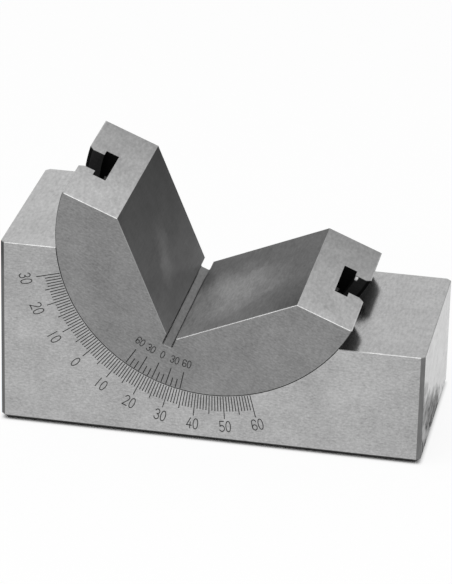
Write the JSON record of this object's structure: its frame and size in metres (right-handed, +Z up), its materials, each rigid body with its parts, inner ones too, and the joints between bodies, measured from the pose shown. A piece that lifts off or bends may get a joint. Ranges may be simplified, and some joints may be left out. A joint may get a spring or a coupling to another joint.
{
  "type": "adjustable v-block",
  "caption": "Ground steel block with a circular cradle in which a disc segment with a 90 degree vee swivels to a degree scale and vernier, clamped from below through the T-slot in its rim.",
  "frame": {"origin": "centre of the base's underside", "axes": "+X along the block from its high side to its low side, +Y from the front face with the scale to the back, +Z up"},
  "size_m": [0.102, 0.0454, 0.0611],
  "materials": {
    "base_steel": "surface ground, fine lines along the block",
    "segment_steel": "surface ground, fine lines across the arms",
    "nut_steel": "turned, oiled",
    "screw_steel": "black oxide"
  },
  "bodies": {
    "base": {"base_block": "base_steel"},
    "segment": {"swivel_vee": "segment_steel"},
    "left_nut": {"left_t_nut": "nut_steel"},
    "right_nut": {"right_t_nut": "nut_steel"},
    "left_screw": {"left_clamp_screw": "screw_steel"},
    "right_screw": {"right_clamp_screw": "screw_steel"}
  },
  "joints": [
    {"name": "swivel", "type": "hinge", "parent": "base", "child": "segment", "pos_m": [0, 0, 0.05], "axis": [0, -1, 0], "range_deg": [-53, 37]},
    {"name": "left_nut_slide", "type": "slide", "parent": "base", "child": "left_nut", "axis": [0, 0, 1], "range_m": [-0.00004, 0.0005]},
    {"name": "left_screw_turn", "type": "hinge", "parent": "base", "child": "left_screw", "pos_m": [-0.0168, 0, 0.0065], "axis": [0, 0, 1], "range_deg": [-180, 15]},
    {"name": "right_nut_slide", "type": "slide", "parent": "base", "child": "right_nut", "axis": [0, 0, 1], "range_m": [-0.00004, 0.0005]},
    {"name": "right_screw_turn", "type": "hinge", "parent": "base", "child": "right_screw", "pos_m": [-0.00351, 0, 0.0065], "axis": [0, 0, 1], "range_deg": [-180, 15]}
  ],
  "couplings": [
    {"joint": "left_screw_turn", "follows": "left_nut_slide", "rad_per_m": -6283.2},
    {"joint": "right_screw_turn", "follows": "right_nut_slide", "rad_per_m": -6283.2}
  ]
}
